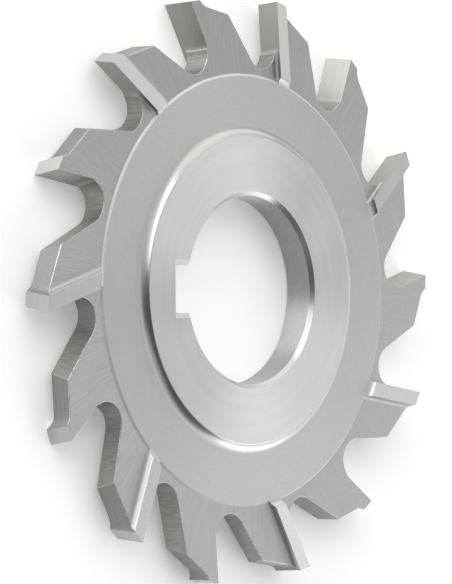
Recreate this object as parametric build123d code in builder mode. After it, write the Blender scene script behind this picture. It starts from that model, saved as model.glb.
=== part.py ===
from build123d import *

import os
from math import atan, cos, degrees, radians, sin, sqrt, tan

os.makedirs("parts", exist_ok=True)

# Turned body, millimetres
outside_diameter = 100.0
cutting_width = 6.0
hub_width = 6.3
web_width = 4.5
tooth_body_width = 4.0
hub_diameter = 52.0
hub_fillet_radius = 2.7
web_diameter = 73.4
turning_stock = 1.0

# Bore and keyway for the arbor
bore_diameter = 32.0
bore_chamfer = 0.7
keyway_width = 8.0
keyway_depth = 2.8
keyway_chamfer = 0.9
keyway_corner_radius = 0.8

# Tooth spaces, angles in degrees
tooth_count = 14
first_tooth_angle = 4.0
helix_angle = 10.0
rake_angle = 13.0
rake_depth = 9.3
rake_corner_radius = 1.5
rake_stock = 0.26
gullet_depth = 11.95
gullet_radius = 3.45
tooth_back_angle = 47.5

# Relief behind the cutting edge
land_length = 2.55
land_relief_angle = 7.0
land_drop = 0.8
land_runout = 1.45
back_relief_angle = 26.0

# Raised side cutting strips
strip_width = 2.5
strip_wall_angle = 15.0
strip_foot_radius = 0.9
strip_front_radius = 0.4
strip_end_gap = 0.1
strip_end_angle = 35.0

# Values that follow from the sizes above
outside_radius = outside_diameter / 2
blank_radius = outside_radius + turning_stock
half_width = cutting_width / 2
half_hub = hub_width / 2
half_web = web_width / 2
half_body = tooth_body_width / 2
web_radius = web_diameter / 2
web_step = half_web - half_body
hub_radius = hub_diameter / 2
hub_height = half_hub - half_web
hub_foot = hub_radius + sqrt(2 * hub_fillet_radius * hub_height - hub_height**2)
bore_radius = bore_diameter / 2
keyway_floor = bore_radius + keyway_depth
teeth_per_side = tooth_count // 2
pitch_angle = 180 / teeth_per_side
tool_reach = cutting_width
past_rim = 0.8 * gullet_depth
lean = radians(helix_angle)
rake = radians(rake_angle)
side_rake = atan(tan(rake) / cos(lean))


def step(angle, length):
    """Return the move of a length in a direction given in degrees."""
    return Vector(cos(radians(angle)), sin(radians(angle))) * length


# Corner points of one tooth space, square to the slanted milling direction
tooth_plane = Plane((0, 0, 0), x_dir=(1, 0, 0), z_dir=(0, sin(lean), cos(lean)))
tip = Vector(outside_radius, 0)
rake_top = tip + step(rake_angle, 2 * turning_stock)
rake_foot = tip - step(rake_angle, rake_depth)
rake_ahead = step(rake_angle + 90, gullet_radius)
gullet_drop = gullet_depth - gullet_radius
gullet_lead = (gullet_radius + rake_stock) / cos(rake) - gullet_drop * tan(rake)
gullet_centre = tip + Vector(-gullet_drop, gullet_lead)
gullet_front = gullet_centre + step(rake_angle - 90, gullet_radius)
gullet_floor = gullet_centre + Vector(-gullet_radius, 0)
gullet_back = gullet_centre + step(tooth_back_angle + 90, gullet_radius)
front_top = gullet_front + step(rake_angle, gullet_depth)
back_top = gullet_back + step(tooth_back_angle, 2 * past_rim)
land_end = tip + step(270 - land_relief_angle, land_length)
back_slope = step(270 - back_relief_angle, 1)
runout_drop = land_drop + land_runout * tan(radians(back_relief_angle))
runout_end = land_end + Vector(-runout_drop, -land_runout)
relief_end = runout_end + back_slope * past_rim
above = Vector(past_rim, 0)

with BuildPart() as tooth_space:
    # Milled gullet with the long straight back of the tooth ahead
    with BuildSketch(tooth_plane):
        with BuildLine():
            ThreePointArc(gullet_front, gullet_floor, gullet_back)
            Polyline(gullet_back, back_top, front_top, gullet_front)
        make_face()
    extrude(amount=tool_reach, both=True)
    # Ground rake face with the corner radius of the wheel
    with BuildSketch(tooth_plane):
        with BuildLine():
            FilletPolyline(
                rake_top,
                rake_foot,
                rake_foot + rake_ahead,
                radius=rake_corner_radius,
            )
            Polyline(rake_foot + rake_ahead, rake_top + rake_ahead, rake_top)
        make_face()
    extrude(amount=tool_reach, both=True)
    # Narrow land, hollow run-out and flat back relief
    with BuildSketch(tooth_plane):
        with BuildLine():
            TangentArc(runout_end, land_end, tangent=back_slope * -1)
            Polyline(
                land_end,
                tip,
                tip + above + rake_ahead,
                runout_end + above,
                relief_end + above,
                relief_end,
                runout_end,
            )
        make_face()
    extrude(amount=tool_reach, both=True)

# Section of a side cutting strip, seen along its length
strip_height = half_width - half_body
strip_end_slope = tan(radians(strip_end_angle))
strip_end_foot = web_radius + strip_end_gap
strip_reach = outside_radius - strip_end_foot + strip_width
strip_start = tip - step(degrees(side_rake), strip_reach)
strip_plane = Plane(
    strip_start,
    x_dir=(-sin(side_rake), cos(side_rake), 0),
    z_dir=(cos(side_rake), sin(side_rake), 0),
)
strip_lean = tan(lean) * cos(side_rake)
strip_lead = half_width * strip_lean
strip_trail = strip_lead - strip_width
strip_foot = strip_trail - strip_height * tan(radians(strip_wall_angle))

with BuildPart() as side_strip:
    with BuildSketch(strip_plane):
        with BuildLine():
            FilletPolyline(
                (strip_foot - strip_width, half_body),
                (strip_foot, half_body),
                (strip_trail, half_width),
                radius=strip_foot_radius,
            )
            Line((strip_trail, half_width), (strip_lead, half_width))
            FilletPolyline(
                (strip_lead, half_width),
                (half_body * strip_lean, half_body),
                (strip_width, half_body),
                radius=strip_front_radius,
            )
            Polyline(
                (strip_width, half_body),
                (strip_width, 0),
                (strip_foot - strip_width, 0),
                (strip_foot - strip_width, half_body),
            )
        make_face()
    extrude(amount=strip_reach + turning_stock)
    # Turned cone that ends every strip just outside the web
    with BuildSketch(Plane.XZ):
        with BuildLine():
            Polyline(
                (0, 0),
                (strip_end_foot - half_body * strip_end_slope, 0),
                (strip_end_foot + half_width * strip_end_slope, half_body + half_width),
                (0, half_body + half_width),
                close=True,
            )
        make_face()
    revolve(axis=Axis.Z, mode=Mode.SUBTRACT)

with BuildPart() as side_and_face_cutter:
    # Turned blank with hub, filleted web and tooth rim
    with BuildSketch(Plane.XZ):
        with BuildLine():
            Polyline((0, 0), (0, half_hub), (hub_radius, half_hub))
            RadiusArc((hub_radius, half_hub), (hub_foot, half_web), -hub_fillet_radius)
            Polyline(
                (hub_foot, half_web),
                (web_radius - web_step, half_web),
                (web_radius, half_body),
                (blank_radius, half_body),
                (blank_radius, 0),
                (0, 0),
            )
        make_face()
    revolve(axis=Axis.Z)
    mirror(about=Plane.XY)

    # Bore, turned with a broken edge on both hub faces
    with BuildSketch():
        Circle(bore_radius)
    extrude(amount=hub_width, both=True, mode=Mode.SUBTRACT)
    by_height = side_and_face_cutter.faces().sort_by(Axis.Z)
    bore_edges = by_height[0].inner_wires().edges() + by_height[-1].inner_wires().edges()
    chamfer(bore_edges, bore_chamfer)

    # Broached keyway, chamfered along its walls and floor on both hub faces
    with BuildSketch():
        Rectangle(keyway_floor, keyway_width, align=(Align.MIN, Align.CENTER))
    extrude(amount=hub_width, both=True, mode=Mode.SUBTRACT)
    by_height = side_and_face_cutter.faces().sort_by(Axis.Z)
    keyway_edges = by_height[0].edges() + by_height[-1].edges()
    chamfer(keyway_edges.filter_by(GeomType.LINE), keyway_chamfer)
    upright_edges = side_and_face_cutter.edges().filter_by(Axis.Z)
    keyway_corners = upright_edges.sort_by_distance((keyway_floor, 0, 0))[:2]
    fillet(keyway_corners, keyway_corner_radius)

    # Strips on the front of every second tooth and on the rear of the rest
    with PolarLocations(0, teeth_per_side, first_tooth_angle):
        add(side_strip.part)
    with PolarLocations(0, teeth_per_side, first_tooth_angle + pitch_angle):
        add(mirror(side_strip.part, about=Plane.XY, mode=Mode.PRIVATE))

    # Tooth spaces, slanted one way for front teeth and the other way for rear
    with PolarLocations(0, teeth_per_side, first_tooth_angle):
        add(tooth_space.part, mode=Mode.SUBTRACT)
    with PolarLocations(0, teeth_per_side, first_tooth_angle + pitch_angle):
        add(
            mirror(tooth_space.part, about=Plane.XY, mode=Mode.PRIVATE),
            mode=Mode.SUBTRACT,
        )

side_and_face_cutter.part.label = "side_and_face_cutter"
export_step(side_and_face_cutter.part, "parts/side_and_face_cutter.step")
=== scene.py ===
import bmesh
import bpy
import logging
from dataclasses import dataclass, field
from enum import Enum
from math import acos, atan, atan2, cos, degrees, radians, sin, sqrt, tan

from mathutils import Matrix, Vector

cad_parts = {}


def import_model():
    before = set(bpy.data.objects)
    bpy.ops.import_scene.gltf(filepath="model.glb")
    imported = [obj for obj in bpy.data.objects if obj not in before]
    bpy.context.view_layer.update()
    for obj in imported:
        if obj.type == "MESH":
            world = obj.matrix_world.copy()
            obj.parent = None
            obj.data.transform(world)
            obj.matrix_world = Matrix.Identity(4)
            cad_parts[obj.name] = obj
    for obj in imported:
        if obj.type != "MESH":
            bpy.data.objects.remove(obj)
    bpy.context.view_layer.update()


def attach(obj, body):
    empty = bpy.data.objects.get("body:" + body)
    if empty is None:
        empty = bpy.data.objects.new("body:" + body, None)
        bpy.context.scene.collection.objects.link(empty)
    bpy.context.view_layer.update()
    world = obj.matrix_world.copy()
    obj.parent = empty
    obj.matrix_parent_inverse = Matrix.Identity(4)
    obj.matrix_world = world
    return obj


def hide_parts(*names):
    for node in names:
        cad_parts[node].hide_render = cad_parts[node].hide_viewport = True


NODE = "side_and_face_cutter"
LOG = logging.getLogger(NODE)

# One millimetre in the scene's metres
MM = 0.001

# Driving sizes that several shapes of the cutter share, in mm and degrees
OUTSIDE_RADIUS = 50.0
HALF_WIDTH = 3.0
HALF_HUB = 3.15
HALF_WEB = 2.25
HALF_BODY = 2.0
HELIX = 10.0
RAKE = 13.0

# Chords round the axis of everything that was turned on the lathe
TURNS = 240

Point = tuple[float, float]


class Region(Enum):
    """Surfaces of the cutter that were finished in different ways."""

    TURNED_HUB = 0
    TURNED_WEB = 1
    GROUND_SIDE = 2
    GROUND_STRIP = 3
    GROUND_RAKE = 4
    GROUND_RELIEF = 5
    MILLED_GULLET = 6
    HONED_BORE = 7
    TURNED_CHAMFER = 8
    BROACHED_KEYWAY = 9
    WEB_STEP = 10
    HUB_FILLET = 11
    STRIP_WALL = 12
    STRIP_FOOT = 13
    STRIP_END = 14
    FILED_CHAMFER = 15
    BROKEN_EDGE = 16
    GROUND_LAND = 17

    @property
    def material_name(self) -> str:
        """Name of the material of the region."""
        return f"high_speed_steel_{self.name.lower()}"


class Side(Enum):
    """Side of the cutter on which a tooth cuts: its sign along the axis."""

    FRONT = 1
    REAR = -1


class Combine(Enum):
    """How a second solid is put to the first, by the modifier's name for it."""

    JOIN = "UNION"
    CUT = "DIFFERENCE"


def polar(angle: float, length: float) -> Vector:
    """Return the 2-D move of a length in a direction, in degrees from the x axis."""
    return Vector((cos(radians(angle)), sin(radians(angle)))) * length


def spherical(azimuth: float, elevation: float) -> Vector:
    """Return the unit vector in space at an azimuth and an elevation, in degrees."""
    flat = polar(azimuth, cos(radians(elevation)))
    return Vector((flat.x, flat.y, sin(radians(elevation))))


def arc(centre: Vector, radius: float, start: float, end: float, steps: int) -> list[Vector]:
    """Return the points of a circular arc in steps chords, from start to end in degrees."""
    return [centre + polar(start + (end - start) * i / steps, radius) for i in range(steps + 1)]


def bearing(centre: Vector, point: Vector) -> float:
    """Return the direction from a centre to a point, in degrees from the x axis."""
    return degrees(atan2(point.y - centre.y, point.x - centre.x))


def turn_between(start: float, end: float) -> float:
    """Return the shorter turn from one direction to another, in degrees."""
    return (end - start + 180) % 360 - 180


def corner_round(
    before: Vector, corner: Vector, after: Vector, radius: float, steps: int
) -> list[Vector]:
    """Return a rounded corner between two straight lines.

    Args:
        before: A point on the line into the corner.
        corner: The sharp corner.
        after: A point on the line out of the corner.
        radius: Radius of the round, mm.
        steps: Number of chords.

    Returns:
        The points of the tangent arc from the first line to the second.
    """
    into = (before - corner).normalized()
    out = (after - corner).normalized()
    half = into.angle(out) / 2
    centre = corner + (into + out).normalized() * (radius / sin(half))
    ends = [corner + way * (radius / tan(half)) - centre for way in (into, out)]
    start, end = (degrees(atan2(spoke.y, spoke.x)) for spoke in ends)
    return arc(centre, radius, start, start + turn_between(start, end), steps)


class Solid:
    """A closed mesh in millimetres, whose faces carry the region that they belong to."""

    def __init__(self, name: str) -> None:
        """Start an empty solid.

        Args:
            name: Name of the object.
        """
        self.mesh = bpy.data.meshes.new(name)
        self.obj = bpy.data.objects.new(name, self.mesh)
        bpy.context.scene.collection.objects.link(self.obj)

    def fill(
        self, vertices: list[Vector], faces: list[list[int]], regions: list[Region]
    ) -> "Solid":
        """Give the solid its faces, all facing out.

        Args:
            vertices: Corner points, mm.
            faces: Corner numbers of each face.
            regions: Region of each face.

        Returns:
            The solid itself.
        """
        self.mesh.from_pydata([tuple(v) for v in vertices], [], faces)
        for polygon, region in zip(self.mesh.polygons, regions):
            polygon.material_index = region.value
        work = bmesh.new()
        work.from_mesh(self.mesh)
        bmesh.ops.recalc_face_normals(work, faces=work.faces)
        work.to_mesh(self.mesh)
        work.free()
        for region in Region:
            self.mesh.materials.append(bpy.data.materials[region.material_name])
        return self

    def combine(self, other: "Solid", how: Combine) -> None:
        """Join another solid to this one or cut it out, and delete the other.

        Args:
            other: The second solid.
            how: Whether it is joined or cut out.
        """
        modifier = self.obj.modifiers.new("combine", "BOOLEAN")
        modifier.object = other.obj
        modifier.operation = how.value
        modifier.solver = "EXACT"
        modifier.material_mode = "INDEX"
        self.bake()
        bpy.data.meshes.remove(other.mesh)

    def bake(self) -> None:
        """Replace the mesh by what the modifiers make of it."""
        graph = bpy.context.evaluated_depsgraph_get()
        made = bpy.data.meshes.new_from_object(self.obj.evaluated_get(graph))
        self.obj.modifiers.clear()
        old, self.mesh = self.mesh, made
        self.obj.data = made
        bpy.data.meshes.remove(old)

    def clean(self, near: float, flat: float) -> None:
        """Weld close points, merge the coplanar faces of a region and drop needless corners.

        Args:
            near: Distance, mm, within which points are welded.
            flat: Largest angle, degrees, that still counts as flat.
        """
        work = bmesh.new()
        work.from_mesh(self.mesh)
        bmesh.ops.remove_doubles(work, verts=work.verts, dist=near)
        bmesh.ops.dissolve_degenerate(work, edges=work.edges, dist=near)
        bmesh.ops.dissolve_limit(
            work,
            angle_limit=radians(flat),
            verts=work.verts,
            edges=work.edges,
            delimit={"MATERIAL"},
        )
        work.to_mesh(self.mesh)
        work.free()

    def shade(self, sharp: float) -> None:
        """Shade round stretches smooth and keep flat faces exactly flat.

        A corner of a round face takes its normal from the flat faces that it runs on to, or
        else from all the faces of its fan.

        Args:
            sharp: Smallest angle, degrees, of an edge that shows as an edge.
        """
        limit = radians(sharp)
        self.mesh.shade_smooth()
        self.mesh.set_sharp_from_angle(angle=limit)
        work = bmesh.new()
        work.from_mesh(self.mesh)
        flat = [not is_round(face, limit) for face in work.faces]
        work.faces.index_update()
        normals = []
        for face in work.faces:
            for loop in face.loops:
                fan = smooth_fan(face, loop.vert, limit)
                leaders = [face] if flat[face.index] else [f for f in fan if flat[f.index]]
                weighted = (leader.normal * leader.calc_area() for leader in leaders or fan)
                normals.append(sum(weighted, Vector()).normalized())
        work.free()
        self.mesh.normals_split_custom_set(normals)


def runs_on(edge: bmesh.types.BMEdge, sharp: float) -> bool:
    """Return whether the surface bends by less than a sharp angle, in radians, over an edge."""
    return len(edge.link_faces) == 2 and edge.calc_face_angle() < sharp


def is_round(face: bmesh.types.BMFace, sharp: float) -> bool:
    """Return whether a face is one chord of a round stretch, and not a flat face.

    Args:
        face: The face.
        sharp: Smallest angle, radians, of an edge that shows as an edge.

    Returns:
        True where a neighbour of the same region follows smoothly, and on broken edges.
    """
    if face.material_index == Region.BROKEN_EDGE.value:
        return True
    for edge in face.edges:
        if not runs_on(edge, sharp):
            continue
        if all(other.material_index == face.material_index for other in edge.link_faces):
            return True
    return False


def smooth_fan(
    face: bmesh.types.BMFace, vertex: bmesh.types.BMVert, sharp: float
) -> list[bmesh.types.BMFace]:
    """Return the faces round a vertex that a face runs on to smoothly.

    Args:
        face: The face to start from.
        vertex: One of its corners.
        sharp: Smallest angle, radians, of an edge that shows as an edge.

    Returns:
        The face and its neighbours round the vertex, up to the next visible edges.
    """
    fan, waiting = [face], [face]
    while waiting:
        for edge in waiting.pop().edges:
            if vertex not in edge.verts or not runs_on(edge, sharp):
                continue
            for other in edge.link_faces:
                if other not in fan:
                    fan.append(other)
                    waiting.append(other)
    return fan


@dataclass
class TurnedBlank:
    """The lathe-turned blank: hub, web and tooth rim, alike on both sides. Sizes in mm."""

    outside_radius: float = OUTSIDE_RADIUS
    stock: float = 1.0
    half_hub: float = HALF_HUB
    half_web: float = HALF_WEB
    half_body: float = HALF_BODY
    hub_radius: float = 26.05
    hub_round: float = 0.3
    hub_fillet: float = 1.7
    web_radius: float = 36.7
    step_width: float = 0.4
    round_steps: int = 8

    def profile(self) -> list[tuple[float, float, Region]]:
        """Return the front half of the section, from the axis to the rim.

        Returns:
            Radius and height of each point, and the region of the stretch that follows it.
        """
        radii = self.hub_round + self.hub_fillet
        slope = degrees(acos(1 - (self.half_hub - self.half_web) / radii))
        foot = self.hub_radius + radii * sin(radians(slope))
        edge = Vector((self.hub_radius, self.half_hub - self.hub_round))
        hollow = Vector((foot, self.half_web + self.hub_fillet))
        rounded = arc(edge, self.hub_round, 90, 90 - slope, self.round_steps)
        rounded += arc(hollow, self.hub_fillet, 270 - slope, 270, self.round_steps)[1:]
        points = [(0.0, self.half_hub, Region.TURNED_HUB)]
        points += [(p.x, p.y, Region.HUB_FILLET) for p in rounded[:-1]]
        points.append((foot, self.half_web, Region.TURNED_WEB))
        points.append((self.web_radius - self.step_width, self.half_web, Region.WEB_STEP))
        points.append((self.web_radius, self.half_body, Region.GROUND_SIDE))
        points.append((self.outside_radius + self.stock, self.half_body, Region.GROUND_SIDE))
        return points

    def build(self) -> Solid:
        """Return the blank.

        Returns:
            A closed solid of revolution, larger than the finished cutter by the turning stock.
        """
        front = self.profile()
        rear = [(r, -z) for r, z, _ in reversed(front)]
        outline = [(r, z) for r, z, _ in front] + rear
        regions = [region for _, _, region in front]
        regions += [region for _, _, region in reversed(front[:-1])]
        return revolved("blank", outline, regions)


def revolved(name: str, outline: list[Point], regions: list[Region]) -> Solid:
    """Return a solid of revolution about the z axis.

    Args:
        name: Name of the object.
        outline: (radius, height) points, the first and the last on the axis.
        regions: Region of each stretch of the outline.

    Returns:
        The closed solid.
    """
    vertices = [Vector((0, 0, outline[0][1])), Vector((0, 0, outline[-1][1]))]
    rings = []
    for radius, height in outline[1:-1]:
        rings.append(len(vertices))
        for i in range(TURNS):
            flat = polar(360 * i / TURNS, radius)
            vertices.append(Vector((flat.x, flat.y, height)))
    faces, owners = [], []
    for i in range(TURNS):
        j = (i + 1) % TURNS
        faces.append([0, rings[0] + i, rings[0] + j])
        owners.append(regions[0])
        faces.append([1, rings[-1] + j, rings[-1] + i])
        owners.append(regions[-1])
        for low, high, region in zip(rings, rings[1:], regions[1:]):
            faces.append([low + i, high + i, high + j, low + j])
            owners.append(region)
    return Solid(name).fill(vertices, faces, owners)


def lofted(name: str, rings: list[list[Vector]], regions: list[Region], ends: Region) -> Solid:
    """Return a solid through closed rings that have as many points each.

    Args:
        name: Name of the object.
        rings: The rings, each a list of points.
        regions: Region of the wall after each point of a ring.
        ends: Region of both end faces.

    Returns:
        The closed solid.
    """
    size = len(rings[0])
    vertices = [point for ring in rings for point in ring]
    faces, owners = [list(range(size))], [ends]
    for level in range(len(rings) - 1):
        base = level * size
        for i in range(size):
            j = (i + 1) % size
            faces.append([base + i, base + j, base + size + j, base + size + i])
            owners.append(regions[i])
    last = (len(rings) - 1) * size
    faces.append([last + i for i in range(size)])
    owners.append(ends)
    return Solid(name).fill(vertices, faces, owners)


@dataclass
class KeyedBore:
    """The turned bore with its broached keyway, as the shapes that are cut out.

    Sizes are in mm. The shapes stand out by over past the hub faces.
    """

    radius: float = 16.0
    chamfer: float = 0.7
    half_hub: float = HALF_HUB
    keyway_width: float = 8.0
    keyway_depth: float = 2.8
    keyway_chamfer: float = 0.9
    corner_radius: float = 0.8
    over: float = 1.0
    corner_steps: int = 6

    def bore(self) -> Solid:
        """Return the bore.

        Returns:
            A solid of revolution with a 45 degree flare at both ends.
        """
        reach = self.half_hub + self.over
        flare = self.radius + self.chamfer + self.over
        wall = self.half_hub - self.chamfer
        rear = [(0, -reach), (flare, -reach), (self.radius, -wall)]
        front = [(radius, -height) for radius, height in reversed(rear)]
        chamfer = Region.TURNED_CHAMFER
        regions = [chamfer, chamfer, Region.HONED_BORE, chamfer, chamfer]
        return revolved("bore", rear + front, regions)

    def slot_corners(self, grow: float) -> list[Vector]:
        """Return the four corners of the slot, seen along the axis.

        Args:
            grow: How far the walls and the floor are moved outwards, mm.

        Returns:
            The corners in turn. The first and the last are inside the bore.
        """
        floor = self.radius + self.keyway_depth + grow
        half = self.keyway_width / 2 + grow
        inner = self.radius - self.keyway_depth
        places = ((inner, -half), (floor, -half), (floor, half), (inner, half))
        return [Vector(place) for place in places]

    def keyway(self) -> Solid:
        """Return the keyway.

        Returns:
            A straight slot with round corners at its floor.
        """
        corners = self.slot_corners(0.0)
        ring = [corners[0]]
        for three in (corners[:3], corners[1:]):
            ring += corner_round(*three, self.corner_radius, self.corner_steps)
        ring.append(corners[3])
        reach = self.half_hub + self.over
        rings = [[Vector((p.x, p.y, z)) for p in ring] for z in (-reach, reach)]
        wall = Region.BROACHED_KEYWAY
        return lofted("keyway", rings, [wall] * len(ring), wall)

    def keyway_flare(self, side: Side) -> Solid:
        """Return the chamfer of the keyway on one side.

        Args:
            side: The hub face that it opens on.

        Returns:
            A wedge that widens outwards at 45 degrees.
        """
        rings = []
        for depth in (self.keyway_chamfer + self.over, -self.over):
            corners = self.slot_corners(self.keyway_chamfer - depth)
            z = side.value * (self.half_hub - depth)
            rings.append([Vector((p.x, p.y, z)) for p in corners])
        wall = Region.FILED_CHAMFER
        return lofted("keyway_flare", rings, [wall] * len(rings[0]), wall)


@dataclass
class ToothSpace:
    """One milled and ground tooth space, as the shape that is cut out.

    Sizes are in mm and angles in degrees. Past_rim is how far the shape stands out past the
    rim, and reach is how far it goes above and below the middle of the cutter.
    """

    outside_radius: float = OUTSIDE_RADIUS
    helix: float = HELIX
    rake: float = RAKE
    rake_depth: float = 9.3
    rake_corner: float = 1.5
    rake_stock: float = 0.26
    gullet_depth: float = 11.95
    gullet_radius: float = 3.45
    tooth_back: float = 47.5
    land_length: float = 2.55
    land_relief: float = 7.0
    land_drop: float = 0.8
    land_runout: float = 1.45
    back_relief: float = 26.0
    past_rim: float = 9.56
    reach: float = 6.0
    gullet_steps: int = 20
    corner_steps: int = 8
    runout_steps: int = 6

    def gullet(self) -> tuple[list[Vector], list[Vector], Vector]:
        """Return the gullet in three parts, from the foot of the rake face to past the rim.

        Returns:
            The points of the rake wheel's round corner, those of the gullet's arc from there to
            the tooth back, and the far end of the tooth back.
        """
        rake = radians(self.rake)
        tip = Vector((self.outside_radius, 0))
        drop = self.gullet_depth - self.gullet_radius
        lead = (self.gullet_radius + self.rake_stock) / cos(rake) - drop * tan(rake)
        centre = tip + Vector((-drop, lead))
        wheel = tip - polar(self.rake, self.rake_depth - self.rake_corner)
        wheel += polar(self.rake + 90, self.rake_corner)
        meet = circles_meet(wheel, self.rake_corner, centre, self.gullet_radius)
        corner_end = bearing(wheel, meet) % 360
        start = self.rake - 90 + 360
        corner = arc(wheel, self.rake_corner, start, corner_end, self.corner_steps)
        floor_start, floor_end = bearing(centre, meet) % 360, self.tooth_back + 90
        floor = arc(centre, self.gullet_radius, floor_start, floor_end, self.gullet_steps)
        rim = floor[-1] + polar(self.tooth_back, 2 * self.past_rim)
        return corner, floor, rim

    def outline(self) -> tuple[list[Vector], list[Region]]:
        """Return the section square to the milling direction.

        Returns:
            The corner points in turn, and the region of the stretch after each of them.
        """
        corner, floor, rim = self.gullet()
        tip = Vector((self.outside_radius, 0))
        land_end = tip + polar(270 - self.land_relief, self.land_length)
        slope = polar(270 - self.back_relief, 1)
        fall = self.land_drop + self.land_runout * tan(radians(self.back_relief))
        runout_end = land_end + Vector((-fall, -self.land_runout))
        relief_end = runout_end + slope * self.past_rim
        above = Vector((self.past_rim, 0))
        runout = tangent_arc(runout_end, -slope, land_end, self.runout_steps)
        stretches = [
            ([relief_end + above, relief_end] + runout[:-1], Region.GROUND_RELIEF),
            (runout[-1:], Region.GROUND_LAND),
            ([tip] + corner[:-1], Region.GROUND_RAKE),
            (corner[-1:] + floor[1:] + [rim], Region.MILLED_GULLET),
        ]
        points = [point for stretch, _ in stretches for point in stretch]
        regions = [region for stretch, region in stretches for _ in stretch]
        return points, regions

    def build(self, angle: float, side: Side) -> Solid:
        """Return the tooth space of one tooth.

        Args:
            angle: Place of the tooth tip round the rim, degrees.
            side: Side on which the tooth cuts, which sets the slant.

        Returns:
            The slanted prism to cut out.
        """
        points, regions = self.outline()
        lean = radians(self.helix)
        turn = Matrix.Rotation(radians(angle), 3, "Z")
        rings = []
        for z in (-self.reach, self.reach):
            shift = side.value * z * tan(lean)
            rings.append([turn @ Vector((p.x, p.y / cos(lean) + shift, z)) for p in points])
        return lofted("tooth_space", rings, regions, Region.MILLED_GULLET)


def circles_meet(
    first: Vector, first_radius: float, second: Vector, second_radius: float
) -> Vector:
    """Return the crossing of two circles that lies nearer the axis of the cutter.

    Args:
        first: Centre of the first circle, mm.
        first_radius: Its radius, mm.
        second: Centre of the second circle, mm.
        second_radius: Its radius, mm.

    Returns:
        The crossing with the smaller x, mm.
    """
    line = second - first
    span = line.length
    along = (span**2 + first_radius**2 - second_radius**2) / (2 * span)
    off = sqrt(first_radius**2 - along**2)
    unit = line / span
    foot = first + unit * along
    normal = Vector((-unit.y, unit.x)) * off
    return min(foot + normal, foot - normal, key=lambda p: p.x)


def tangent_arc(start: Vector, tangent: Vector, end: Vector, steps: int) -> list[Vector]:
    """Return the arc that leaves a point in a direction and ends at another point.

    Args:
        start: First point, mm.
        tangent: Direction in which the arc leaves it.
        end: Last point, mm.
        steps: Number of chords.

    Returns:
        The points of the arc, both ends included.
    """
    unit = tangent.normalized()
    normal = Vector((-unit.y, unit.x))
    chord = end - start
    radius = chord.length_squared / (2 * chord.dot(normal))
    centre = start + normal * radius
    first = bearing(centre, start)
    turn = turn_between(first, bearing(centre, end))
    return arc(centre, abs(radius), first, first + turn, steps)


@dataclass
class SideStrip:
    """A raised side cutting strip, whose leading face lies in the rake face of its tooth.

    Sizes are in mm and angles in degrees. The stock is ground off with the tooth space. The
    turning tool that shapes the inner ends cuts under the web by the sink, which fades out
    over the sink run.
    """

    outside_radius: float = OUTSIDE_RADIUS
    half_width: float = HALF_WIDTH
    half_web: float = HALF_WEB
    half_body: float = HALF_BODY
    helix: float = HELIX
    rake: float = RAKE
    width: float = 2.5
    wall_angle: float = 18.0
    foot_radius: float = 0.9
    front_radius: float = 0.4
    end_radius: float = 37.5
    end_fillet: float = 1.5
    length: float = 16.0
    stock: float = 0.02
    sink: float = 0.02
    sink_run: float = 0.4
    over: float = 1.0
    foot_steps: int = 7
    front_steps: int = 8
    end_steps: int = 18

    def section(self) -> list[Point]:
        """Return the section seen along the strip, from its trailing foot to its leading one.

        Returns:
            Distance ahead of the tip line and height of each point.
        """
        lean = tan(radians(self.helix)) * cos(self.heading())
        lead = self.half_width * lean + self.stock
        trail = self.half_width * lean - self.width
        height = self.half_width - self.half_body
        foot = trail - height * tan(radians(self.wall_angle))
        lead_foot = self.half_body * lean + self.stock
        base = self.half_body
        back = corner_round(
            Vector((foot - self.width, base)),
            Vector((foot, base)),
            Vector((trail, self.half_width)),
            self.foot_radius,
            self.foot_steps,
        )
        front = corner_round(
            Vector((lead, self.half_width)),
            Vector((lead_foot, base)),
            Vector((lead_foot + self.width, base)),
            self.front_radius,
            self.front_steps,
        )
        points = [Vector((back[0].x, 0))] + back
        points += [Vector((trail, self.half_width)), Vector((lead, self.half_width))]
        points += front + [Vector((front[-1].x, 0))]
        return [(p.x, p.y) for p in points]

    def heading(self) -> float:
        """Return the direction of the strip from the radius through its tip, radians."""
        return atan(tan(radians(self.rake)) / cos(radians(self.helix)))

    def nose(self, side: Side) -> Solid:
        """Return what the round nose of the turning tool takes off the inner ends of the strips.

        Args:
            side: Side of the cutter that the strips stand on.

        Returns:
            A solid of revolution over the web, hollow at its rim.
        """
        rise = self.half_width - self.half_web
        run = sqrt(self.end_fillet**2 - (self.end_fillet - rise) ** 2)
        centre = Vector((self.end_radius - run, self.half_web + self.end_fillet))
        low = self.half_web - self.sink
        outline = [(0.0, low), (centre.x - self.sink_run, low)]
        outline += [(p.x, p.y) for p in arc(centre, self.end_fillet, 270, 360, self.end_steps)]
        outline.append((0.0, self.half_web + self.end_fillet))
        outline = [(radius, side.value * height) for radius, height in outline]
        return revolved("nose", outline, [Region.STRIP_END] * (len(outline) - 1))

    def build(self, angle: float, side: Side) -> Solid:
        """Return the strip of one tooth, with its inner end turned hollow down to the web.

        Args:
            angle: Place of the tooth tip round the rim, degrees.
            side: Side of the cutter that the strip stands on.

        Returns:
            The strip, which reaches past the rim.
        """
        heading = self.heading()
        along = Vector((cos(heading), sin(heading), 0))
        across = Vector((-sin(heading), cos(heading), 0))
        tip = Vector((self.outside_radius, 0, 0))
        section = self.section()
        turn = Matrix.Rotation(radians(angle), 3, "Z") @ Matrix.Diagonal((1, 1, side.value))
        rings = []
        for travel in (-self.length, self.over):
            start = tip + along * travel
            rings.append([turn @ (start + across * s + Vector((0, 0, z))) for s, z in section])
        regions = [Region.STRIP_FOOT] * (self.foot_steps + 1)
        regions += [Region.STRIP_WALL, Region.GROUND_STRIP, Region.GROUND_RAKE]
        regions += [Region.STRIP_FOOT] * (len(section) - len(regions))
        strip = lofted("side_strip", rings, regions, Region.STRIP_END)
        strip.combine(self.nose(side), Combine.CUT)
        return strip


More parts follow.
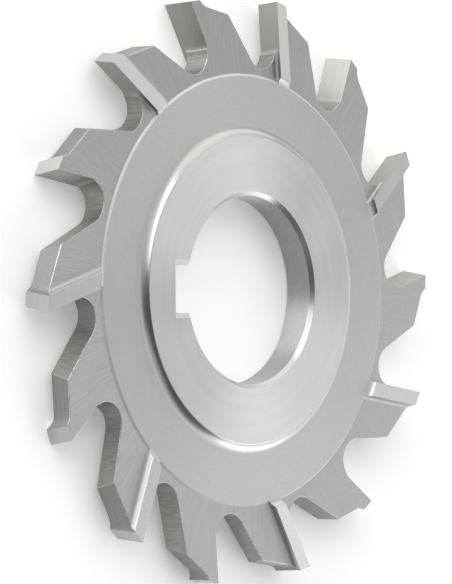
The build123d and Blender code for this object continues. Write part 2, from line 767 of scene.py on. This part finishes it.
# Surfaces whose edges stay as the wheel or the lathe left them
LEFT_SHARP = {
    Region.GROUND_STRIP,
    Region.STRIP_WALL,
    Region.GROUND_LAND,
    Region.WEB_STEP,
}

# Surfaces whose edges are only just broken
FINE_EDGED = {
    Region.TURNED_CHAMFER,
    Region.HONED_BORE,
    Region.FILED_CHAMFER,
    Region.BROACHED_KEYWAY,
    Region.STRIP_END,
    Region.HUB_FILLET,
}


@dataclass
class EdgeBreaks:
    """The hand-broken edges: how wide each kind of edge is rounded.

    Sizes are in mm and angles in degrees. An edge that bends by less than the least angle is
    left as it is. Afterwards points nearer than tiny are welded, and faces within the flat
    angle of one plane are merged.
    """

    widest: float = 0.14
    gullet: float = 0.1
    usual: float = 0.05
    fine: float = 0.04
    least_angle: float = 25.0
    steps: int = 2
    tiny: float = 0.002
    flat: float = 0.05

    def width(self, first: Region, second: Region) -> float:
        """Return the width of the break between two regions.

        Args:
            first: Region on one side of the edge.
            second: Region on the other side.

        Returns:
            The width, or 0 where the edge is left as ground.
        """
        pair = {first, second}
        if pair & LEFT_SHARP:
            return 0.0
        if pair == {Region.GROUND_RELIEF, Region.GROUND_SIDE}:
            return self.widest
        if pair == {Region.MILLED_GULLET, Region.GROUND_SIDE}:
            return self.gullet
        if pair & FINE_EDGED:
            return self.fine
        return self.usual

    def apply(self, solid: Solid) -> None:
        """Round the outer edges of a solid.

        Args:
            solid: The solid, in millimetres.
        """
        mesh = solid.mesh
        mesh.attributes.new("bevel_weight_edge", "FLOAT", "EDGE")
        work = bmesh.new()
        work.from_mesh(mesh)
        layer = work.edges.layers.float["bevel_weight_edge"]
        for edge in work.edges:
            if len(edge.link_faces) != 2 or not edge.is_convex:
                continue
            if degrees(edge.calc_face_angle()) < self.least_angle:
                continue
            first, second = (Region(face.material_index) for face in edge.link_faces)
            edge[layer] = self.width(first, second) / self.widest
        work.to_mesh(mesh)
        work.free()
        bevel = solid.obj.modifiers.new("edge_breaks", "BEVEL")
        bevel.width = self.widest
        bevel.segments = self.steps
        bevel.limit_method = "WEIGHT"
        bevel.use_clamp_overlap = False
        bevel.material = Region.BROKEN_EDGE.value
        bevel.loop_slide = True
        solid.bake()
        solid.clean(self.tiny, self.flat)


@dataclass
class Cutter:
    """The whole cutter: blank, strips, bore and tooth spaces put together.

    Sizes are in mm and angles in degrees. Points nearer than weld are made one, faces within
    the flat angle of one plane are merged, and the sharp angle is the least that shows.
    """

    tooth_count: int = 14
    first_angle: float = 4.0
    weld: float = 0.0005
    flat: float = 0.05
    sharp_angle: float = 16.0
    blank: TurnedBlank = field(default_factory=TurnedBlank)
    bore: KeyedBore = field(default_factory=KeyedBore)
    space: ToothSpace = field(default_factory=ToothSpace)
    strip: SideStrip = field(default_factory=SideStrip)
    breaks: EdgeBreaks = field(default_factory=EdgeBreaks)

    def teeth(self) -> list[tuple[float, Side]]:
        """Return where the teeth stand, and on which side each of them cuts.

        Returns:
            The angle in degrees and the side of each tooth, front and rear in turn.
        """
        pitch = 360 / self.tooth_count
        sides = (Side.FRONT, Side.REAR)
        return [(self.first_angle + pitch * i, sides[i % 2]) for i in range(self.tooth_count)]

    def build(self) -> bpy.types.Object:
        """Make the cutter and let it stand for its CAD node.

        Returns:
            The finished object, in metres.
        """
        body = self.blank.build()
        for angle, side in self.teeth():
            body.combine(self.strip.build(angle, side), Combine.JOIN)
        LOG.info("strips on")
        body.combine(self.bore.bore(), Combine.CUT)
        body.combine(self.bore.keyway(), Combine.CUT)
        for side in Side:
            body.combine(self.bore.keyway_flare(side), Combine.CUT)
        LOG.info("bore cut")
        for angle, side in self.teeth():
            body.combine(self.space.build(angle, side), Combine.CUT)
        LOG.info("teeth cut")
        body.clean(self.weld, self.flat)
        self.breaks.apply(body)
        body.shade(self.sharp_angle)
        body.mesh.transform(Matrix.Scale(MM, 4))
        body.obj.name = "cutter_body"
        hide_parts(NODE)
        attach(body.obj, "root")
        return body.obj


class Grain(Enum):
    """Run of the marks that a tool left on a surface."""

    CONCENTRIC = "round the axis, as from a lathe"
    RADIAL = "out from the axis, as from a side grinding wheel"
    AXIAL = "across the thickness, as from a milling cutter"
    LEVEL = "along a wall at one height, as from a cup wheel"
    CROSSED = "in no direction, as from a file or a stone"


# The sRGB curve: a straight foot up to the knee, then a power of the shifted value
SRGB_KNEE = 0.04045
SRGB_FOOT_SLOPE = 12.92
SRGB_SHIFT = 0.055
SRGB_POWER = 2.4

# A quarter of a turn, as the shader counts the turn of a highlight
QUARTER_TURN = 0.25

# The value round which a noise texture swings
NOISE_MIDDLE = 0.5

# Numbers of a mix node's two colour inputs and of its colour output
FIRST_COLOUR = 6
SECOND_COLOUR = 7
MIXED_COLOUR = 2


def linear(colour: str) -> tuple[float, float, float, float]:
    """Turn an sRGB hex colour to the linear colour of a shader socket.

    Args:
        colour: The colour, as in "#b0afab".

    Returns:
        Red, green, blue and an alpha of 1.
    """
    parts = []
    for i in (1, 3, 5):
        part = int(colour[i : i + 2], 16) / 255
        if part <= SRGB_KNEE:
            parts.append(part / SRGB_FOOT_SLOPE)
        else:
            parts.append(((part + SRGB_SHIFT) / (1 + SRGB_SHIFT)) ** SRGB_POWER)
    red, green, blue = parts
    return red, green, blue, 1.0


def add_node(
    tree: bpy.types.NodeTree,
    kind: str,
    settings: dict[str | int, object] | None = None,
    links: dict[str | int, bpy.types.NodeSocket] | None = None,
) -> bpy.types.Node:
    """Add a node with its settings and links.

    Args:
        tree: Node tree to add to.
        kind: Type name of the node, without the ShaderNode that it starts with.
        settings: Value of each input, by its name or number, or of a property of the node.
        links: Source of each linked input, by its name or number.

    Returns:
        The new node.
    """
    node = tree.nodes.new("ShaderNode" + kind)
    names = {socket.name for socket in node.inputs}
    for key, value in (settings or {}).items():
        if isinstance(key, str) and key not in names:
            setattr(node, key, value)
    for key, value in (settings or {}).items():
        if isinstance(key, int) or key in names:
            node.inputs[key].default_value = value
    for key, source in (links or {}).items():
        tree.links.new(source, node.inputs[key])
    return node


@dataclass(frozen=True)
class SteelFinish:
    """High-speed steel as one tool left it. Lengths in mm.

    The marks are a noise that is stretched along them. Spacing is the widest distance between
    two marks, depth is how deep one is and shade how much darker. Length is how long it is,
    except in a crossed grain, whose marks are as long as they are wide. Octaves and fine_share
    set how much fine detail the noise has, and softness how gently a mark fades. The roughness
    is uneven by a little from patch to patch. Radial marks have their true spacing at the
    reference radius. They lean to either side by a slope of up to half the turning, which
    changes from one turning patch to the next, and from x = crossed_from to crossed_full they
    give way to concentric ones, up to the share crossing.
    """

    region: Region
    colour: str
    roughness: float
    grain: Grain
    spacing: float = 0.3
    length: float = 12.0
    depth: float = 0.001
    shade: float = 0.1
    octaves: float = 3.0
    fine_share: float = 0.6
    softness: float = 0.16
    anisotropy: float = 0.0
    uneven: float = 0.04
    patch: float = 6.0
    patch_octaves: float = 2.0
    turning: float = 0.6
    turning_patch: float = 22.0
    reference_radius: float = 43.0
    crossing: float = 0.5
    crossed_from: float = -22.0
    crossed_full: float = -38.0

    def millimetres(self, tree: bpy.types.NodeTree) -> bpy.types.NodeSocket:
        """Return the place on the cutter.

        Args:
            tree: Node tree of the material.

        Returns:
            Its coordinates in millimetres.
        """
        place = add_node(tree, "TexCoord").outputs["Object"]
        enlarge = {"operation": "SCALE", "Scale": 1 / MM}
        return add_node(tree, "VectorMath", enlarge, {0: place}).outputs[0]

    def off_axis(
        self, tree: bpy.types.NodeTree, place: bpy.types.NodeSocket
    ) -> tuple[bpy.types.NodeSocket, bpy.types.NodeSocket]:
        """Return how a place lies to the axis of the cutter.

        Args:
            tree: Node tree of the material.
            place: Coordinates in millimetres.

        Returns:
            The coordinates without their height, and the distance from the axis.
        """
        level = {"operation": "MULTIPLY", 1: (1, 1, 0)}
        flat = add_node(tree, "VectorMath", level, {0: place})
        radius = add_node(tree, "VectorMath", {"operation": "LENGTH"}, {0: flat.outputs[0]})
        return flat.outputs[0], radius.outputs["Value"]

    def concentric(self, tree: bpy.types.NodeTree) -> bpy.types.NodeSocket:
        """Return coordinates for marks that run round the axis.

        Args:
            tree: Node tree of the material.

        Returns:
            Coordinates in millimetres, whose first one grows with the radius and the height.
        """
        place = self.millimetres(tree)
        _, radius = self.off_axis(tree, place)
        axes = add_node(tree, "SeparateXYZ", {}, {0: place})
        terms = {0: radius, 1: axes.outputs["Z"]}
        outward = add_node(tree, "Math", {"operation": "ADD"}, terms)
        parts = {"X": outward.outputs[0], "Y": axes.outputs["X"], "Z": axes.outputs["Y"]}
        return add_node(tree, "CombineXYZ", {}, parts).outputs[0]

    def radial(self, tree: bpy.types.NodeTree) -> bpy.types.NodeSocket:
        """Return coordinates for marks that run outwards, and lean as on a hand-ground face.

        Args:
            tree: Node tree of the material.

        Returns:
            Coordinates in millimetres, whose last one is the radius. The others run round.
        """
        flat, radius = self.off_axis(tree, self.millimetres(tree))
        outward = {"operation": "SUBTRACT", 1: self.reference_radius}
        past = add_node(tree, "Math", outward, {0: radius})
        patches = {"Scale": 1 / self.turning_patch, "Detail": 0.0}
        wander = add_node(tree, "TexNoise", patches, {"Vector": flat})
        half = self.turning / 2 / self.reference_radius
        span = {"To Min": -half, "To Max": half}
        slant = add_node(tree, "MapRange", span, {"Value": wander.outputs["Fac"]})
        factors = {0: past.outputs[0], 1: slant.outputs[0]}
        angle = add_node(tree, "Math", {"operation": "MULTIPLY"}, factors)
        turn = {"Vector": flat, "Angle": angle.outputs[0]}
        turned = add_node(tree, "VectorRotate", {"rotation_type": "Z_AXIS"}, turn)
        spoke = {0: turned.outputs[0]}
        unit = add_node(tree, "VectorMath", {"operation": "NORMALIZE"}, spoke)
        enlarge = {"operation": "SCALE", "Scale": self.reference_radius}
        rim = add_node(tree, "VectorMath", enlarge, {0: unit.outputs[0]})
        around = add_node(tree, "SeparateXYZ", {}, {0: rim.outputs[0]}).outputs
        parts = {"X": around["X"], "Y": around["Y"], "Z": radius}
        return add_node(tree, "CombineXYZ", {}, parts).outputs[0]

    def marks(
        self,
        tree: bpy.types.NodeTree,
        place: bpy.types.NodeSocket,
        stretch: tuple[float, float, float],
    ) -> bpy.types.NodeSocket:
        """Return the noise that stands for the marks.

        Args:
            tree: Node tree of the material.
            place: Coordinates in millimetres.
            stretch: How many marks there are to a millimetre along each of them.

        Returns:
            A value from 0 in a mark to 1 beside it.
        """
        run = add_node(tree, "VectorMath", {"operation": "MULTIPLY", 1: stretch}, {0: place})
        detail = {"Scale": 1.0, "Detail": self.octaves, "Roughness": self.fine_share}
        noise = add_node(tree, "TexNoise", detail, {"Vector": run.outputs[0]})
        fade = {
            "From Min": NOISE_MIDDLE - self.softness,
            "From Max": NOISE_MIDDLE + self.softness,
        }
        spread = add_node(tree, "MapRange", fade, {"Value": noise.outputs["Fac"]})
        return spread.outputs["Result"]

    def height(self, tree: bpy.types.NodeTree) -> bpy.types.NodeSocket:
        """Return the height of the surface, with the marks run as the grain says.

        Args:
            tree: Node tree of the material.

        Returns:
            A value from 0 in a mark to 1 beside it.
        """
        across, along = 1 / self.spacing, 1 / self.length
        straight = {
            Grain.AXIAL: (across, across, along),
            Grain.LEVEL: (along, along, across),
            Grain.CROSSED: (across, across, across),
        }
        if self.grain in straight:
            return self.marks(tree, self.millimetres(tree), straight[self.grain])
        rings = self.marks(tree, self.concentric(tree), (across, along, along))
        if self.grain is Grain.CONCENTRIC:
            return rings
        radial = self.marks(tree, self.radial(tree), (across, across, along))
        axes = add_node(tree, "SeparateXYZ", {}, {0: self.millimetres(tree)})
        span = {
            "From Min": self.crossed_from,
            "From Max": self.crossed_full,
            "To Max": self.crossing,
        }
        share = add_node(tree, "MapRange", span, {"Value": axes.outputs["X"]})
        both = {"Factor": share.outputs["Result"], "A": radial, "B": rings}
        return add_node(tree, "Mix", {"data_type": "FLOAT"}, both).outputs[0]

    def tangent(self, tree: bpy.types.NodeTree) -> bpy.types.NodeSocket:
        """Return the direction from which the turn of the highlight is counted.

        Args:
            tree: Node tree of the material.

        Returns:
            A level direction where the grain is axial or level, and one round the axis elsewhere.
        """
        if self.grain not in (Grain.AXIAL, Grain.LEVEL):
            around = {"direction_type": "RADIAL", "axis": "Z"}
            return add_node(tree, "Tangent", around).outputs[0]
        facing = add_node(tree, "NewGeometry").outputs["Normal"]
        level = {"operation": "CROSS_PRODUCT", 1: (0, 0, 1)}
        return add_node(tree, "VectorMath", level, {0: facing}).outputs[0]

    def build(self) -> bpy.types.Material:
        """Make the finish.

        Returns:
            The material, named for its region.
        """
        material = bpy.data.materials.new(self.region.material_name)
        material.use_nodes = True
        tree = material.node_tree
        tree.nodes.clear()
        height = self.height(tree)
        light = linear(self.colour)
        dark = tuple(part * (1 - self.shade) for part in light[:3]) + (1.0,)
        tones = {"data_type": "RGBA", FIRST_COLOUR: dark, SECOND_COLOUR: light}
        tone = add_node(tree, "Mix", tones, {"Factor": height})
        patches = {"Scale": 1 / self.patch, "Detail": self.patch_octaves}
        clouds = add_node(tree, "TexNoise", patches, {"Vector": self.millimetres(tree)})
        span = {"To Min": self.roughness - self.uneven, "To Max": self.roughness + self.uneven}
        rough = add_node(tree, "MapRange", span, {"Value": clouds.outputs["Fac"]})
        relief = {"Strength": 1.0, "Distance": self.depth * MM}
        bump = add_node(tree, "Bump", relief, {"Height": height})
        links = {
            "Base Color": tone.outputs[MIXED_COLOUR],
            "Roughness": rough.outputs[0],
            "Normal": bump.outputs[0],
        }
        settings = {"Metallic": 1.0}
        if self.anisotropy:
            links["Tangent"] = self.tangent(tree)
            settings["Anisotropic"] = self.anisotropy
            if self.grain in (Grain.CONCENTRIC, Grain.LEVEL):
                settings["Anisotropic Rotation"] = QUARTER_TURN
        shader = add_node(tree, "BsdfPrincipled", settings, links)
        add_node(tree, "OutputMaterial", {}, {"Surface": shader.outputs[0]})
        return material


FINISHES = [
    # Face-turned steel: bright, and drawn out across its rings, so that it shines in fans.
    # The real feed marks are 0.1 mm apart, too fine to show, and are drawn as soft 1.2 mm rings
    SteelFinish(
        region=Region.TURNED_HUB,
        colour="#d2d0cf",
        roughness=0.4,
        grain=Grain.CONCENTRIC,
        spacing=1.2,
        length=20.0,
        depth=0.0012,
        shade=0.05,
        octaves=4.0,
        anisotropy=0.82,
    ),
    # Turned and fine-blasted steel: even and matt, with a short grain.
    # The real pits are about 0.05 mm wide and are drawn at 0.25 mm
    SteelFinish(
        region=Region.TURNED_WEB,
        colour="#c0bebb",
        roughness=0.45,
        grain=Grain.CONCENTRIC,
        spacing=0.25,
        length=0.8,
        depth=0.0012,
        shade=0.07,
        anisotropy=0.4,
    ),
    # Side-ground steel: grey, with long scratches that wander from tooth to tooth and are
    # crossed by others on the teeth beyond the keyway. A grit of 0.05 mm is drawn at 0.22 mm
    SteelFinish(
        region=Region.GROUND_SIDE,
        colour="#b6b4b2",
        roughness=0.42,
        grain=Grain.RADIAL,
        spacing=0.22,
        length=5.0,
        depth=0.002,
        shade=0.15,
        anisotropy=0.2,
    ),
    # Side-ground cutting strips: lighter than the tooth sides and finely grained.
    # The same grit is drawn at 0.3 mm
    SteelFinish(
        region=Region.GROUND_STRIP,
        colour="#d3d1d0",
        roughness=0.42,
        grain=Grain.CONCENTRIC,
        length=0.3,
        anisotropy=0.8,
    ),
    # Ground rake faces: smooth and silky, with faint lines along the wheel's path.
    # Lines that are really 0.03 mm apart are drawn at 0.3 mm
    SteelFinish(
        region=Region.GROUND_RAKE,
        colour="#b4b2ae",
        roughness=0.42,
        grain=Grain.LEVEL,
        length=6.0,
        depth=0.0015,
        shade=0.08,
        anisotropy=0.75,
    ),
    # Ground back relief: as the rake faces, darker and with stronger lines
    SteelFinish(
        region=Region.GROUND_RELIEF,
        colour="#a19f9d",
        roughness=0.42,
        grain=Grain.LEVEL,
        length=6.0,
        depth=0.0015,
        shade=0.12,
        anisotropy=0.75,
    ),
    # Freshly ground lands behind the cutting edges: the lightest of the ground faces.
    # Their lines are drawn as coarse as the others
    SteelFinish(
        region=Region.GROUND_LAND,
        colour="#c9c7c5",
        roughness=0.42,
        grain=Grain.LEVEL,
        spacing=0.25,
        length=3.0,
        shade=0.08,
        anisotropy=0.75,
    ),
    # Milled gullets: dull and darker, with cutter marks across the thickness that show at
    # their real spacing of 0.35 mm
    SteelFinish(
        region=Region.MILLED_GULLET,
        colour="#acaaa6",
        roughness=0.5,
        grain=Grain.AXIAL,
        spacing=0.35,
        length=6.0,
        depth=0.003,
        shade=0.24,
    ),
    # Honed bore: half bright and mottled, and drawn out along the axis into clear bands.
    # The stone's scratches of about 0.05 mm are drawn at 0.3 mm
    SteelFinish(
        region=Region.HONED_BORE,
        colour="#c0c0c0",
        roughness=0.46,
        grain=Grain.CONCENTRIC,
        length=0.9,
        anisotropy=0.9,
    ),
    # Turned chamfer of the bore: bright, mirrors the lights as a line.
    # Feed marks of 0.05 mm are drawn at 0.2 mm
    SteelFinish(
        region=Region.TURNED_CHAMFER,
        colour="#cacac9",
        roughness=0.34,
        grain=Grain.CONCENTRIC,
        spacing=0.2,
        shade=0.08,
        anisotropy=0.82,
    ),
    # Broached keyway walls: lines along the broach, at their real 0.3 mm
    SteelFinish(
        region=Region.BROACHED_KEYWAY,
        colour="#c4c2be",
        roughness=0.33,
        grain=Grain.AXIAL,
        length=8.0,
        depth=0.0015,
        shade=0.15,
    ),
    # Turned step between the web and the tooth rim: matt, so that it is an even light line.
    # Feed marks of 0.05 mm are drawn at 0.2 mm
    SteelFinish(
        region=Region.WEB_STEP,
        colour="#d7d5d3",
        roughness=0.68,
        grain=Grain.CONCENTRIC,
        spacing=0.2,
        shade=0.08,
    ),
    # Form-turned hollow beside the hub: the smoothest surface, with long soft reflections.
    # Its faint marks of 0.05 mm are drawn at 0.2 mm
    SteelFinish(
        region=Region.HUB_FILLET,
        colour="#c2c1bf",
        roughness=0.34,
        grain=Grain.CONCENTRIC,
        spacing=0.2,
        depth=0.0004,
        shade=0.02,
        anisotropy=0.7,
    ),
    # Ground wall behind each cutting strip: matt, with no lines to be seen.
    # The grit of 0.05 mm is drawn at 0.3 mm here and in the next one
    SteelFinish(
        region=Region.STRIP_WALL,
        colour="#d6d5d3",
        roughness=0.56,
        grain=Grain.CROSSED,
    ),
    # Hollow at the foot of that wall: the wall's own ground finish, coloured darker as painted shade in the
    # hollow
    SteelFinish(
        region=Region.STRIP_FOOT,
        colour="#bcbbb9",
        roughness=0.56,
        grain=Grain.CROSSED,
    ),
    # Turned inner end of each strip: half bright, so that its hollow catches the light.
    # Feed marks of 0.05 mm are drawn at 0.2 mm
    SteelFinish(
        region=Region.STRIP_END,
        colour="#c8c7c5",
        roughness=0.42,
        grain=Grain.CONCENTRIC,
        spacing=0.2,
    ),
    # Hand-filed chamfer of the keyway: light and grainy, with dark flecks at their real 0.3 mm
    SteelFinish(
        region=Region.FILED_CHAMFER,
        colour="#dbdad9",
        roughness=0.5,
        grain=Grain.CROSSED,
        depth=0.01,
        shade=0.25,
    ),
    # Edges broken with a wire brush: narrow, bright and uneven.
    # The brush marks of about 0.1 mm are drawn at 0.25 mm
    SteelFinish(
        region=Region.BROKEN_EDGE,
        colour="#c2c0be",
        roughness=0.27,
        grain=Grain.CROSSED,
        spacing=0.25,
        depth=0.035,
        shade=0.12,
    ),
]


# Light a little warmer or cooler than white, as from the two sides of a studio
WARM_WHITE = "#fffdfa"
COOL_WHITE = "#fcfdff"
COLD_WHITE = "#fafcff"


@dataclass
class SoftBox:
    """A flat soft light that faces the cutter. Sizes in m, angles in degrees, power in W."""

    name: str
    azimuth: float
    elevation: float
    width: float
    power: float
    height: float = 0.58
    distance: float = 1.2
    colour: str = "#ffffff"

    def build(self) -> bpy.types.Object:
        """Hang the light in its place and turn it to the cutter.

        Returns:
            The light, which the camera doesn't see.
        """
        light = bpy.data.lights.new(self.name, "AREA")
        light.shape = "RECTANGLE"
        light.size = self.width
        light.size_y = self.height
        light.energy = self.power
        light.color = linear(self.colour)[:3]
        lamp = bpy.data.objects.new(self.name, light)
        out = spherical(self.azimuth, self.elevation)
        lamp.location = out * self.distance
        lamp.rotation_euler = out.to_track_quat("Z", "Y").to_euler()
        lamp.visible_camera = False
        bpy.context.scene.collection.objects.link(lamp)
        return lamp


@dataclass
class Camera:
    """The camera, at the angle of the photograph. Sizes in mm, angles in degrees."""

    target: tuple[float, float, float] = (3.30, 0.36, 0.0)
    distance: float = 558.86
    azimuth: float = 1.33
    elevation: float = 40.66
    roll: float = -0.41
    lens: float = 203.43
    sensor: float = 36.0

    def build(self) -> bpy.types.Object:
        """Set the camera up.

        Returns:
            The camera, which is also made the one of the scene.
        """
        data = bpy.data.cameras.new("camera")
        data.lens = self.lens
        data.sensor_width = self.sensor
        camera = bpy.data.objects.new("camera", data)
        back = spherical(self.azimuth, self.elevation)
        right = Vector((0, -1, 0)).cross(back).normalized()
        up = back.cross(right)
        axes = Matrix((right, up, back)).transposed()
        axes = axes @ Matrix.Rotation(radians(self.roll), 3, "Z")
        place = (Vector(self.target) + back * self.distance) * MM
        camera.matrix_world = Matrix.Translation(place) @ axes.to_4x4()
        bpy.context.scene.collection.objects.link(camera)
        bpy.context.scene.camera = camera
        return camera


@dataclass
class Studio:
    """A pale light table and soft boxes round it. Sizes in m."""

    floor_half: float = 3.0
    floor_height: float = -HALF_HUB * MM
    floor_colour: str = "#f7f7f5"
    floor_roughness: float = 0.9
    floor_glow: float = 0.25
    air_colour: str = "#ffffff"
    air_strength: float = 0.09
    boxes: list[SoftBox] = field(default_factory=list)

    def floor(self) -> None:
        """Lay the table's opal top under the cutter, lit a little from below."""
        half = self.floor_half
        corners = [(-half, -half), (half, -half), (half, half), (-half, half)]
        mesh = bpy.data.meshes.new("floor")
        mesh.from_pydata([(x, y, self.floor_height) for x, y in corners], [], [[0, 1, 2, 3]])
        material = bpy.data.materials.new("opal_acrylic_table")
        material.use_nodes = True
        shader = material.node_tree.nodes["Principled BSDF"]
        shader.inputs["Base Color"].default_value = linear(self.floor_colour)
        shader.inputs["Roughness"].default_value = self.floor_roughness
        shader.inputs["Specular IOR Level"].default_value = 0.0
        shader.inputs["Emission Color"].default_value = linear(self.floor_colour)
        shader.inputs["Emission Strength"].default_value = self.floor_glow
        mesh.materials.append(material)
        floor = bpy.data.objects.new("floor", mesh)
        bpy.context.scene.collection.objects.link(floor)

    def air(self) -> None:
        """Light the room evenly from all round."""
        world = bpy.data.worlds.new("studio")
        world.use_nodes = True
        shader = world.node_tree.nodes["Background"]
        shader.inputs["Color"].default_value = linear(self.air_colour)
        shader.inputs["Strength"].default_value = self.air_strength
        bpy.context.scene.world = world

    def build(self) -> None:
        """Make the floor and the lights, with colours shown as they are."""
        self.floor()
        self.air()
        for box in self.boxes:
            box.build()
        bpy.context.scene.view_settings.view_transform = "Standard"


STUDIO = Studio(
    boxes=[
        SoftBox("key", azimuth=316, elevation=12, width=1.36, power=11.0),
        SoftBox("side", azimuth=239, elevation=13, width=1.5, power=3.8, colour=WARM_WHITE),
        SoftBox("back", azimuth=161, elevation=12, width=2.2, power=5.7, colour=COOL_WHITE),
        SoftBox("low_back", azimuth=138, elevation=24, width=0.8, power=2.2, height=0.5, colour=COLD_WHITE),
        SoftBox("upper_side", azimuth=245, elevation=40, width=1.5, power=3.8, colour=WARM_WHITE),
        SoftBox("upper_back", azimuth=158, elevation=40, width=1.1, power=2.1),
        SoftBox("high_key", azimuth=300, elevation=66, width=0.8, power=1.2),
        SoftBox("high_back", azimuth=200, elevation=66, width=0.9, power=1.1),
        SoftBox("fill", azimuth=105, elevation=67, width=1.0, power=0.9, height=0.5),
        SoftBox("upper_key", azimuth=306, elevation=38, width=1.2, power=3.6, height=0.5),
    ]
)


def main() -> None:
    """Build the cutter, the camera and the studio, and report each."""
    logging.basicConfig(level=logging.INFO, format="%(relativeCreated)d %(name)s: %(message)s")
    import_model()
    Camera().build()
    LOG.info("camera set")
    for finish in FINISHES:
        finish.build()
    LOG.info("finishes made")
    Cutter().build()
    LOG.info("cutter made")
    STUDIO.build()
    LOG.info("studio lit")


if __name__ == "__main__":
    main()
